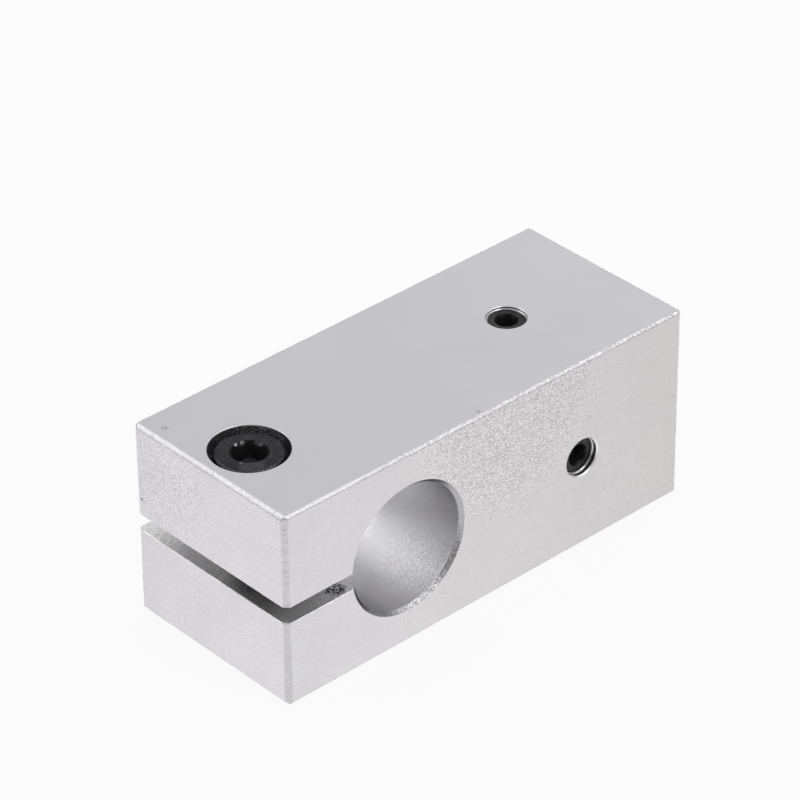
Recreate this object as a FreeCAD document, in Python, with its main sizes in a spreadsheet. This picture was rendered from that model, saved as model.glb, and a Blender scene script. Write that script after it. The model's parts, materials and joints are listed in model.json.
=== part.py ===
import FreeCAD, Part
import Sketcher
import os
import re

# T-type shaft clamp, in millimetres. A square aluminium block carries two shafts at right angles.
# The cross shaft passes through the block and is held by a slit end that one screw pulls together.
# The stem shaft stands in a blind bore at the other end, held by two set screws.
# The origin is where the two shaft axes meet. The stem points along +X, the cross shaft along Y,
# and the clamp screw enters from +Z.

SIZES = {
    # Block
    "cross_bore_diameter": 17.0,
    "stem_bore_diameter": 17.0,
    "stem_bore_depth": 32.0,
    "bore_wall": 5.0,
    "bore_web": 5.2,
    "screw_web": 1.55,
    "end_wall": 1.5,
    "slit_width": 2.2,
    "slit_drop": 0.5,
    "edge_chamfer": 0.4,
    "bore_chamfer": 0.5,
    "hole_chamfer": 0.1,
    # Clamp screw, a socket head cap screw
    "clamp_thread_diameter": 5.0,
    "head_diameter": 8.5,
    "head_height": 5.0,
    "head_chamfer": 0.25,
    "head_recess": 0.4,
    "tip_recess": 1.6,
    "tip_chamfer": 0.6,
    "clamp_socket_width": 4.0,
    "clamp_socket_depth": 2.5,
    "clamp_socket_turn": 48.0,
    # Set screws, with a cup point
    "set_thread_diameter": 5.0,
    "set_screw_length": 4.0,
    "set_screw_from_end": 17.0,
    "side_screw_drop": 0.5,
    "top_recess": 0.4,
    "side_recess": 0.8,
    "set_screw_lead": 0.35,
    "cup_diameter": 2.5,
    "set_socket_width": 2.5,
    "set_socket_depth": 1.8,
    "top_socket_turn": 38.0,
    "side_socket_turn": 12.0,
    # Clearances on the radius
    "head_clearance": 0.75,
    "shank_clearance": 0.25,
    "thread_clearance": 0.05,
    "socket_lead": 0.06,
    # Slope of the cones in sockets and cup points, in degrees
    "cone_slope": 30.0,
}

HALF_WIDTH = "(stem_bore_diameter / 2 + bore_wall)"
HALF_HEIGHT = "(max(cross_bore_diameter; stem_bore_diameter) / 2 + bore_wall)"
COUNTERBORE_RADIUS = "(head_diameter / 2 + head_clearance)"
SHANK_HOLE_RADIUS = "(clamp_thread_diameter / 2 + shank_clearance)"
CLAMP_THREAD_RADIUS = "(clamp_thread_diameter / 2 + thread_clearance)"
SET_THREAD_RADIUS = "(set_thread_diameter / 2 + thread_clearance)"
CLAMP_SCREW_X = f"(-cross_bore_diameter / 2 - screw_web - {SHANK_HOLE_RADIUS})"
SLIT_END_X = f"({CLAMP_SCREW_X} - {COUNTERBORE_RADIUS} - end_wall)"
STEM_END_X = "(cross_bore_diameter / 2 + bore_web + stem_bore_depth)"
SET_SCREW_X = f"({STEM_END_X} - set_screw_from_end)"
HEAD_SEAT_Z = f"({HALF_HEIGHT} - head_recess - head_height)"
CLAMP_SCREW_LENGTH = f"({HEAD_SEAT_Z} + {HALF_HEIGHT} - tip_recess)"
CONE_RISE = "tan(cone_slope * 1 deg)"
FULL_TURN = 360

doc = FreeCAD.newDocument("shaft_clamp")
sheet = doc.addObject("Spreadsheet::Sheet", "Sizes")
for row, (size_name, size) in enumerate(SIZES.items(), start=1):
    sheet.set(f"A{row}", size_name)
    sheet.set(f"B{row}", str(size))
    sheet.setAlias(f"B{row}", size_name)
doc.recompute()


def linked(formula):
    """The formula with each size written as a cell of the sheet."""
    return re.sub(r"[a-z_]+", lambda word: f"Sizes.{word[0]}" if word[0] in SIZES else word[0], formula)


def value(formula):
    return float(sheet.evalExpression(linked(formula)))


def bind(thing, setting, formula):
    thing.setExpression(setting, linked(formula))


def new_body(name):
    body = doc.addObject("PartDesign::Body", name)
    body.Label = name
    return body


def outline(body, name, plane, points, offsets=None):
    """A closed outline on one of the body's planes, each corner given by two formulas."""
    sketch = body.newObject("Sketcher::SketchObject", name)
    origin_plane = next(f for f in body.Origin.OriginFeatures if f.Role == plane)
    sketch.AttachmentSupport = [(origin_plane, "")]
    sketch.MapMode = "FlatFace"
    for side, distance in (offsets or {}).items():
        bind(sketch, f"AttachmentOffset.Base.{side}", distance)
    corners = [FreeCAD.Vector(value(across), value(up), 0) for across, up in points]
    count = len(corners)
    for i in range(count):
        sketch.addGeometry(Part.LineSegment(corners[i], corners[(i + 1) % count]))
    for i in range(count):
        sketch.addConstraint(Sketcher.Constraint("Coincident", i, 2, (i + 1) % count, 1))
    for i, (across, up) in enumerate(points):
        place_corner(sketch, i, "DistanceX", across, corners[i].x, -2)
        place_corner(sketch, i, "DistanceY", up, corners[i].y, -1)
    return sketch


def place_corner(sketch, line, direction, formula, start, axis):
    """Holds the start of a line on an axis of the sketch, or at a bound distance from the origin."""
    if formula == "0":
        sketch.addConstraint(Sketcher.Constraint("PointOnObject", line, 1, axis))
        return
    number = sketch.addConstraint(Sketcher.Constraint(direction, -1, 1, line, 1, start))
    bind(sketch, f"Constraints[{number}]", formula)


def turned(kind, body, name, plane, points, axis="V_Axis", offsets=None):
    """A solid or a cut turned about an axis of its outline's plane."""
    sketch = outline(body, name + "Outline", plane, points, offsets)
    feature = body.newObject("PartDesign::" + kind, name)
    feature.Profile = sketch
    feature.ReferenceAxis = (sketch, [axis])
    feature.Angle = FULL_TURN
    return feature


def tapped_hole(body, name, plane, mouth, offsets):
    """A set screw's hole from the mouth, a formula along the outline's V axis, to the block's middle plane."""
    inward = f"{mouth} * (1 - hole_chamfer / abs({mouth}))"
    points = [
        ("0", mouth),
        (f"{SET_THREAD_RADIUS} + hole_chamfer", mouth),
        (SET_THREAD_RADIUS, inward),
        (SET_THREAD_RADIUS, "0"),
        ("0", "0"),
    ]
    turned("Groove", body, name, plane, points, offsets=offsets)


def make_block():
    body = new_body("clamp_block")

    # Square bar cut to length, all edges broken
    bar_outline = outline(body, "BarOutline", "XZ_Plane", [
        (SLIT_END_X, f"-{HALF_HEIGHT}"),
        (STEM_END_X, f"-{HALF_HEIGHT}"),
        (STEM_END_X, HALF_HEIGHT),
        (SLIT_END_X, HALF_HEIGHT),
    ])
    bar = body.newObject("PartDesign::Pad", "Bar")
    bar.Profile = bar_outline
    bar.SideType = "Symmetric"
    bind(bar, "Length", f"2 * {HALF_WIDTH}")
    doc.recompute()
    broken_edges = body.newObject("PartDesign::Chamfer", "BrokenEdges")
    broken_edges.Base = (bar, [f"Edge{n}" for n in range(1, len(bar.Shape.Edges) + 1)])
    bind(broken_edges, "Size", "edge_chamfer")

    # Cross bore right through, with a chamfer at each mouth
    bore_radius = "cross_bore_diameter / 2"
    turned("Groove", body, "CrossBore", "XY_Plane", [
        ("0", f"-{HALF_WIDTH}"),
        (f"{bore_radius} + bore_chamfer", f"-{HALF_WIDTH}"),
        (bore_radius, f"bore_chamfer - {HALF_WIDTH}"),
        (bore_radius, f"{HALF_WIDTH} - bore_chamfer"),
        (f"{bore_radius} + bore_chamfer", HALF_WIDTH),
        ("0", HALF_WIDTH),
    ])

    # Blind stem bore with a flat floor
    bore_radius = "stem_bore_diameter / 2"
    stem_floor = f"{STEM_END_X} - stem_bore_depth"
    turned("Groove", body, "StemBore", "XZ_Plane", [
        (stem_floor, "0"),
        (stem_floor, bore_radius),
        (f"{STEM_END_X} - bore_chamfer", bore_radius),
        (STEM_END_X, f"{bore_radius} + bore_chamfer"),
        (STEM_END_X, "0"),
    ], axis="H_Axis")

    # Slit from the end face into the cross bore, a little below its axis
    slit_outline = outline(body, "SlitOutline", "XZ_Plane", [
        (SLIT_END_X, "-slit_drop - slit_width / 2"),
        ("0", "-slit_drop - slit_width / 2"),
        ("0", "slit_width / 2 - slit_drop"),
        (SLIT_END_X, "slit_width / 2 - slit_drop"),
    ])
    slit = body.newObject("PartDesign::Pocket", "Slit")
    slit.Profile = slit_outline
    slit.SideType = "Symmetric"
    bind(slit, "Length", f"2 * {HALF_WIDTH}")

    # Clamp screw's hole: counterbore, clear through the upper jaw, tapped through the lower jaw
    turned("Groove", body, "ClampScrewHole", "XZ_Plane", [
        ("0", HALF_HEIGHT),
        (f"{COUNTERBORE_RADIUS} + hole_chamfer", HALF_HEIGHT),
        (COUNTERBORE_RADIUS, f"{HALF_HEIGHT} - hole_chamfer"),
        (COUNTERBORE_RADIUS, HEAD_SEAT_Z),
        (SHANK_HOLE_RADIUS, HEAD_SEAT_Z),
        (SHANK_HOLE_RADIUS, "0"),
        (CLAMP_THREAD_RADIUS, "0"),
        (CLAMP_THREAD_RADIUS, f"hole_chamfer - {HALF_HEIGHT}"),
        (f"{CLAMP_THREAD_RADIUS} + hole_chamfer", f"-{HALF_HEIGHT}"),
        ("0", f"-{HALF_HEIGHT}"),
    ], offsets={"x": CLAMP_SCREW_X})

    tapped_hole(body, "TopTappedHole", "XZ_Plane", HALF_HEIGHT, {"x": SET_SCREW_X})
    tapped_hole(body, "SideTappedHole", "XY_Plane", f"(-{HALF_WIDTH})", {"x": SET_SCREW_X, "z": "-side_screw_drop"})
    return body


def hex_socket(body, top, width, depth, turn):
    """A hexagon socket from a level down: a cone at its mouth and a drilled point at its floor."""
    corner = f"{width} / 2 / cos(30 deg)"
    hexagon = []
    for side in range(6):
        angle = f"(({turn} + {side} * 60) * 1 deg)"
        hexagon.append((f"{corner} * cos{angle}", f"{corner} * sin{angle}"))
    socket = body.newObject("PartDesign::Pocket", "Socket")
    socket.Profile = outline(body, "SocketOutline", "XY_Plane", hexagon, {"z": top})
    bind(socket, "Length", depth)

    mouth = f"({corner} + socket_lead)"
    turned("Groove", body, "SocketMouth", "XZ_Plane", [
        ("0", top),
        (mouth, top),
        ("0", f"{top} - {mouth} * {CONE_RISE}"),
    ])
    turned("Groove", body, "SocketFloor", "XZ_Plane", [
        ("0", f"{top} - {depth}"),
        (f"{width} / 2", f"{top} - {depth}"),
        ("0", f"{top} - {depth} - {width} / 2 * {CONE_RISE}"),
    ])


def make_clamp_screw():
    """Cap screw with the underside of its head at its own origin."""
    body = new_body("clamp_screw")
    head_radius = "head_diameter / 2"
    thread_radius = "clamp_thread_diameter / 2"
    turned("Revolution", body, "HeadAndShank", "XZ_Plane", [
        ("0", "head_height"),
        (f"{head_radius} - head_chamfer", "head_height"),
        (head_radius, "head_height - head_chamfer"),
        (head_radius, "0"),
        (thread_radius, "0"),
        (thread_radius, f"tip_chamfer - {CLAMP_SCREW_LENGTH}"),
        (f"{thread_radius} - tip_chamfer", f"-{CLAMP_SCREW_LENGTH}"),
        ("0", f"-{CLAMP_SCREW_LENGTH}"),
    ])
    hex_socket(body, "head_height", "clamp_socket_width", "clamp_socket_depth", "clamp_socket_turn")
    bind(body, "Placement.Base.x", CLAMP_SCREW_X)
    bind(body, "Placement.Base.z", HEAD_SEAT_Z)
    return body


def make_set_screw(name, turn):
    """Set screw with its driven end at its own origin and its cup point below."""
    body = new_body(name)
    thread_radius = "set_thread_diameter / 2"
    cup_radius = "cup_diameter / 2"
    turned("Revolution", body, "ThreadAndPoint", "XZ_Plane", [
        ("0", "0"),
        (f"{thread_radius} - set_screw_lead", "0"),
        (thread_radius, "-set_screw_lead"),
        (thread_radius, f"{thread_radius} - {cup_radius} - set_screw_length"),
        (cup_radius, "-set_screw_length"),
        ("0", f"{cup_radius} * {CONE_RISE} - set_screw_length"),
    ])
    hex_socket(body, "0", "set_socket_width", "set_socket_depth", turn)
    bind(body, "Placement.Base.x", SET_SCREW_X)
    return body


def make_top_set_screw():
    body = make_set_screw("top_set_screw", "top_socket_turn")
    bind(body, "Placement.Base.z", f"{HALF_HEIGHT} - top_recess")
    return body


def make_side_set_screw():
    body = make_set_screw("side_set_screw", "side_socket_turn")
    body.Placement.Rotation = FreeCAD.Rotation(FreeCAD.Vector(1, 0, 0), 90)
    bind(body, "Placement.Base.y", f"side_recess - {HALF_WIDTH}")
    bind(body, "Placement.Base.z", "-side_screw_drop")
    return body


def check_features():
    """Every feature is sound, and every cut takes metal away."""
    for thing in doc.Objects:
        if "Invalid" in thing.State or "Error" in thing.State:
            raise RuntimeError(f"{thing.Label} failed: {thing.State}")
        if thing.TypeId in ("PartDesign::Pocket", "PartDesign::Groove"):
            if thing.Shape.Volume >= thing.BaseFeature.Shape.Volume:
                raise RuntimeError(f"{thing.Label} cuts nothing")


def write_parts(bodies):
    for body in bodies:
        if body.Shape.isNull() or not body.Shape.isValid():
            raise RuntimeError(f"{body.Label} has no valid shape")
    os.makedirs("parts", exist_ok=True)
    for body in bodies:
        body.Shape.exportStep(f"parts/{body.Label}.step")
        print(f"{body.Label}: {body.Shape.Volume:.2f} mm3, {len(body.Shape.Solids)} solid")


parts = [make_block(), make_clamp_screw(), make_top_set_screw(), make_side_set_screw()]
doc.recompute()
check_features()
write_parts(parts)
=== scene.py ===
import json
import math
from itertools import product

import bmesh
import bpy
from mathutils import Matrix, Vector, noise


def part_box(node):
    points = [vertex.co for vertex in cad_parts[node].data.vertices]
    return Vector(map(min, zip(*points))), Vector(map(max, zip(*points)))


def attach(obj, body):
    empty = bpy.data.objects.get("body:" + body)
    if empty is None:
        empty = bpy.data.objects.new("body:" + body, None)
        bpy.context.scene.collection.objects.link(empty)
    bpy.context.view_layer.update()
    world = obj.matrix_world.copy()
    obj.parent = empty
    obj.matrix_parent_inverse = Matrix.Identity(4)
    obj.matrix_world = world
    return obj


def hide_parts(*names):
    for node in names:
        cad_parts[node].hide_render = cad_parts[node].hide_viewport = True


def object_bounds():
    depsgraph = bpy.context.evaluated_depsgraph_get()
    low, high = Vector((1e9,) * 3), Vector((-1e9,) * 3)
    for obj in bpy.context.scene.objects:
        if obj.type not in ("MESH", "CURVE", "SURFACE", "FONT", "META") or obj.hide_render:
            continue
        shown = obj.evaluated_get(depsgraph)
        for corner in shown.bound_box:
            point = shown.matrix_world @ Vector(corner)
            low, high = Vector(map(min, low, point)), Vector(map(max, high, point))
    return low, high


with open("model.json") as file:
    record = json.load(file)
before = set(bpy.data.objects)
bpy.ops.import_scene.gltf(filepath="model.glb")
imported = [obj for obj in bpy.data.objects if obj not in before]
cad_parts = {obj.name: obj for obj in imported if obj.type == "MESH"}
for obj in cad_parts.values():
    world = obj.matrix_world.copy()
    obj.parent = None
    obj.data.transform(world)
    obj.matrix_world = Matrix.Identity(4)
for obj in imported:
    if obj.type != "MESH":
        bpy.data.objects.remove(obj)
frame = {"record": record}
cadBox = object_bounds()
scene = bpy.context.scene
scene.view_settings.view_transform = "Standard"
mm = 0.001  # shapes are worked out in millimetres and scaled once at the end


def boxInMm(node):
    low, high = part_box(node)
    return low / mm, high / mm


def mountNamed(name):
    return next(mount for mount in frame["record"]["mounts"] if mount["name"] == name)


blockLow, blockHigh = boxInMm("clamp_block")
clampLow, clampHigh = boxInMm("clamp_screw")
topLow, topHigh = boxInMm("top_set_screw")
sideLow, sideHigh = boxInMm("side_set_screw")
boreRadius = mountNamed("cross_bore")["dims"]["r_mm"]
stemMount = mountNamed("stem_bore")


# Camera and studio

cameraView = {
    "place": (-278.56, -318.39, 296.55),  # mm
    "aim": (-1.67, -13.97, 22.03),  # mm
    "rollDegrees": -0.484,
    "lens": 193.68,  # mm
    "sensor": 36.0,  # mm
}

studio = {
    "floorReach": 4.0,  # m
    "floorColour": (0.94, 0.94, 0.94, 1),
    "floorGlow": 0.90,  # share of plain white that camera and reflections see
    "frontFloor": 0.66,  # share of that glow that reflections see on the floor towards the camera
    "frontFrom": -0.030,  # m before the block's middle, where the floor starts to dim
    "frontTo": -0.066,
    "horizon": 0.32,  # the room's level low down, beyond the white floor
    "sky": 0.84,
    "skyFrom": 0.12,  # height of the direction where the sky starts
    "skyTo": 0.46,
    "frontDim": 0.50,  # how much darker the room is behind the camera
    "dimTo": -0.9,  # share of a direction along the view where the room is darkest
    "dimFrom": 0.3,
}

softBoxes = {
    "backLeftBox": {"place": (-0.55, 0.62, 0.56), "size": 0.55, "watts": 0.52},
    "frontRightBox": {"place": (0.56, -0.55, 0.62), "size": 0.40, "watts": 0.28},
    "frontBox": {"place": (0.16, -0.70, 0.70), "size": 0.36, "watts": 0.80},
}


def addNode(tree, kind, inputs=None, **settings):
    node = tree.nodes.new(kind)
    node.location = (190 * len(tree.nodes), 0)
    for key, value in settings.items():
        setattr(node, key, value)
    for key, value in (inputs or {}).items():
        socket = node.inputs[key]
        if isinstance(value, bpy.types.NodeSocket):
            tree.links.new(value, socket)
        else:
            socket.default_value = value
    return node


def calc(tree, operation, first, second=0.0, clamp=False):
    inputs = {0: first, 1: second}
    return addNode(tree, "ShaderNodeMath", inputs, operation=operation, use_clamp=clamp).outputs[0]


def vectorCalc(tree, operation, first, second):
    inputs = {0: first, 1: second}
    return addNode(tree, "ShaderNodeVectorMath", inputs, operation=operation).outputs


def ranged(tree, value, low, high, start, end):
    inputs = {"Value": value, "From Min": low, "From Max": high, "To Min": start, "To Max": end}
    return addNode(tree, "ShaderNodeMapRange", inputs).outputs["Result"]


def mixColour(tree, factor, first, second, blend="MIX"):
    inputs = {0: factor, 6: first, 7: second}
    return addNode(tree, "ShaderNodeMix", inputs, data_type="RGBA", blend_type=blend).outputs[2]


def makeCamera():
    lens = bpy.data.cameras.new("photoLens")
    lens.lens = cameraView["lens"]
    lens.sensor_width = cameraView["sensor"]
    camera = bpy.data.objects.new("photoCamera", lens)
    scene.collection.objects.link(camera)
    place = Vector(cameraView["place"]) * mm
    towards = Vector(cameraView["aim"]) * mm - place
    turn = towards.to_track_quat("-Z", "Y").to_matrix().to_4x4()
    roll = Matrix.Rotation(math.radians(cameraView["rollDegrees"]), 4, "Z")
    camera.matrix_world = Matrix.Translation(place) @ turn @ roll
    scene.camera = camera


def alongView(tree, place):
    # how far a place or a direction lies away from the camera, measured level
    away = Vector(cameraView["aim"]) - Vector(cameraView["place"])
    away.z = 0
    return vectorCalc(tree, "DOT_PRODUCT", place, away.normalized())["Value"]


def makeWorld():
    world = bpy.data.worlds.new("whiteStudio")
    scene.world = world
    world.use_nodes = True
    tree = world.node_tree
    direction = addNode(tree, "ShaderNodeTexCoord").outputs["Generated"]
    parts = addNode(tree, "ShaderNodeSeparateXYZ", {0: direction})
    overhead = ranged(tree, parts.outputs["Z"], studio["skyFrom"], studio["skyTo"],
                      studio["horizon"], studio["sky"])
    room = ranged(tree, alongView(tree, direction), studio["dimTo"], studio["dimFrom"],
                  1 - studio["frontDim"], 1.0)
    strength = calc(tree, "MULTIPLY", overhead, room)
    seen = addNode(tree, "ShaderNodeLightPath").outputs["Is Camera Ray"]
    level = addNode(tree, "ShaderNodeMix", {0: seen, 2: strength, 3: 1.0}).outputs[0]
    background = tree.nodes["Background"]
    background.inputs["Color"].default_value = (1, 1, 1, 1)
    tree.links.new(level, background.inputs["Strength"])


def makeFloor():
    reach = studio["floorReach"]
    ground = cadBox[0].z
    corners = [(x * reach, y * reach, ground) for x, y in ((-1, -1), (1, -1), (1, 1), (-1, 1))]
    mesh = bpy.data.meshes.new("paleFloor")
    mesh.from_pydata(corners, [], [(0, 1, 2, 3)])
    floor = bpy.data.objects.new("paleFloor", mesh)
    scene.collection.objects.link(floor)
    material = bpy.data.materials.new("paleFloor")
    material.use_nodes = True
    tree = material.node_tree
    tree.nodes.clear()
    light = addNode(tree, "ShaderNodeLightPath")
    mirrored = calc(tree, "MAXIMUM", light.outputs["Is Glossy Ray"], light.outputs["Is Transmission Ray"])
    watched = calc(tree, "MAXIMUM", light.outputs["Is Camera Ray"], mirrored)
    share = calc(tree, "MULTIPLY", watched, studio["floorGlow"])
    where = alongView(tree, addNode(tree, "ShaderNodeNewGeometry").outputs["Position"])
    front = ranged(tree, where, studio["frontTo"], studio["frontFrom"], studio["frontFloor"], 1.0)
    glow = addNode(tree, "ShaderNodeMix", {0: mirrored, 2: 1.0, 3: front}).outputs[0]
    matt = addNode(tree, "ShaderNodeBsdfDiffuse", {"Color": studio["floorColour"]})
    white = addNode(tree, "ShaderNodeEmission", {"Color": (1, 1, 1, 1), "Strength": glow})
    both = addNode(tree, "ShaderNodeMixShader", {0: share, 1: matt.outputs[0], 2: white.outputs[0]})
    addNode(tree, "ShaderNodeOutputMaterial", {"Surface": both.outputs[0]})
    mesh.materials.append(material)


def makeSoftBoxes():
    for name, box in softBoxes.items():
        lamp = bpy.data.lights.new(name, "AREA")
        lamp.shape = "DISK"
        lamp.size = box["size"]
        lamp.energy = box["watts"]
        holder = bpy.data.objects.new(name, lamp)
        holder.location = box["place"]
        holder.rotation_mode = "QUATERNION"
        holder.rotation_quaternion = (-Vector(box["place"])).to_track_quat("-Z", "Y")
        holder.visible_camera = False
        scene.collection.objects.link(holder)


makeCamera()
makeWorld()
makeFloor()
makeSoftBoxes()
print("studio ready: camera, floor and", len(softBoxes), "soft boxes")


# Effects that several finishes share

effects = {
    "patchRange": (0.35, 0.65),  # patch noise from weak to full grain
    "weakGrain": 0.45,
    "scratchTurns": ((0.3, 0.5, 0.6), (-0.5, 0.2, -0.9)),  # radians
    "scratchStretch": (0.25, 7.0, 7.0),
    "scratchGain": 12.0,
    "spotScale": 3.0,
    "spotWander": 0.9,  # how ragged a spot's outline is
    "spotFade": (0.6, 1.0),  # share of the radius where a spot fades out
    "crumbScale": 3.6,
    "crumbRange": (0.51, 0.56),  # crumb noise from a whole to a broken spot
}


def newGroup(name, inputs, outputs):
    tree = bpy.data.node_groups.new(name, "ShaderNodeTree")
    for label, start in inputs.items():
        kind = "NodeSocketVector" if isinstance(start, tuple) else "NodeSocketFloat"
        socket = tree.interface.new_socket(label, in_out="INPUT", socket_type=kind)
        socket.default_value = start
    for label in outputs:
        tree.interface.new_socket(label, in_out="OUTPUT", socket_type="NodeSocketFloat")
    enter = tree.nodes.new("NodeGroupInput").outputs
    leave = tree.nodes.new("NodeGroupOutput").inputs
    return tree, enter, leave


def placeInMm(tree):
    where = addNode(tree, "ShaderNodeTexCoord").outputs["Object"]
    scaled = addNode(tree, "ShaderNodeVectorMath", {0: where, 3: 1 / mm}, operation="SCALE")
    return scaled.outputs["Vector"]


def perMm(tree, size):
    return calc(tree, "DIVIDE", 1.0, size)


def noiseValue(tree, place, scale, detail, roughness=0.55):
    inputs = {"Vector": place, "Scale": scale, "Detail": detail, "Roughness": roughness}
    return addNode(tree, "ShaderNodeTexNoise", inputs).outputs[0]


def makeGrainGroup():
    # sandy speckle: fine grains whose strength comes and goes in patches, and small flat flecks
    tree, enter, leave = newGroup("blastGrain", {"Grain Size": 0.2, "Patch Size": 6.0, "Fleck Size": 0.15},
                                  ["Tone", "Height", "Fleck"])
    place = placeInMm(tree)
    fine = noiseValue(tree, place, perMm(tree, enter["Grain Size"]), detail=2.5, roughness=0.6)
    patch = noiseValue(tree, place, perMm(tree, enter["Patch Size"]), detail=1.0)
    strong = ranged(tree, patch, *effects["patchRange"], effects["weakGrain"], 1.0)
    swing = calc(tree, "MULTIPLY", calc(tree, "SUBTRACT", fine, 0.5), strong)
    tree.links.new(calc(tree, "ADD", swing, 0.5), leave["Tone"])
    tree.links.new(swing, leave["Height"])
    density = perMm(tree, enter["Fleck Size"])
    cells = addNode(tree, "ShaderNodeTexVoronoi", {"Vector": place, "Scale": density})
    one = addNode(tree, "ShaderNodeSeparateColor", {0: cells.outputs["Color"]}).outputs[0]
    tree.links.new(calc(tree, "SUBTRACT", one, 0.5), leave["Fleck"])
    return tree


def makeMarksGroup():
    # lines left by a cutter or saw: noise pulled out along one direction
    tree, enter, leave = newGroup("toolMarks", {"Stretch": (1.0, 1.0, 1.0)}, ["Marks"])
    place = placeInMm(tree)
    pulled = vectorCalc(tree, "MULTIPLY", place, enter["Stretch"])["Vector"]
    marks = noiseValue(tree, pulled, 1.0, detail=4.0, roughness=0.6)
    tree.links.new(marks, leave["Marks"])
    return tree


def makeHandlingGroup():
    # soft smudges, and sparse short scratches in two directions
    tree, enter, leave = newGroup("handlingMarks", {"Smudge Size": 9.0, "Scratch Limit": 0.72},
                                  ["Smudge", "Scratch"])
    place = placeInMm(tree)
    smudge = noiseValue(tree, place, perMm(tree, enter["Smudge Size"]), detail=2.0, roughness=0.5)
    tree.links.new(smudge, leave["Smudge"])
    lines = []
    for turn in effects["scratchTurns"]:
        inputs = {"Vector": place, "Rotation": turn, "Scale": effects["scratchStretch"]}
        pulled = addNode(tree, "ShaderNodeMapping", inputs)
        lines.append(noiseValue(tree, pulled.outputs[0], 1.0, detail=1.0, roughness=0.5))
    strongest = calc(tree, "MAXIMUM", lines[0], lines[1])
    past = calc(tree, "SUBTRACT", strongest, enter["Scratch Limit"])
    tree.links.new(calc(tree, "MULTIPLY", past, effects["scratchGain"], clamp=True), leave["Scratch"])
    return tree


def makeSpotGroup():
    # ragged round mark at one place, such as a pit, a stain, a scuff or a painted glint
    tree, enter, leave = newGroup("spotMark", {"Centre": (0.0, 0.0, 0.0), "Radius": 1.0, "Speckle": 0.0},
                                  ["Mask"])
    place = placeInMm(tree)
    gap = vectorCalc(tree, "DISTANCE", place, enter["Centre"])["Value"]
    share = calc(tree, "DIVIDE", gap, enter["Radius"])
    wander = calc(tree, "SUBTRACT", noiseValue(tree, place, effects["spotScale"], detail=2.0), 0.5)
    ragged = calc(tree, "MULTIPLY", wander, effects["spotWander"])
    inside = ranged(tree, calc(tree, "ADD", share, ragged), *effects["spotFade"], 1.0, 0.0)
    crumbNoise = noiseValue(tree, place, effects["crumbScale"], detail=3.0, roughness=0.7)
    crumbs = ranged(tree, crumbNoise, *effects["crumbRange"], 0.0, 1.0)
    broken = calc(tree, "MULTIPLY", enter["Speckle"], crumbs)
    kept = calc(tree, "SUBTRACT", 1.0, broken, clamp=True)
    tree.links.new(calc(tree, "MULTIPLY", inside, kept), leave["Mask"])
    return tree


grainGroup = makeGrainGroup()
marksGroup = makeMarksGroup()
handlingGroup = makeHandlingGroup()
spotGroup = makeSpotGroup()


# Finishes

# what a finish has where it doesn't say otherwise
plainAluminium = {
    "stretch": (1.0, 1.0, 1.0), "markBump": 0.0, "smudge": 0.10, "scratch": 0.0,
    "fleck": 0.0, "fleckSize": 0.15, "fleckBump": 0.0, "paintedShading": [], "spots": [],
}
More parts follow.
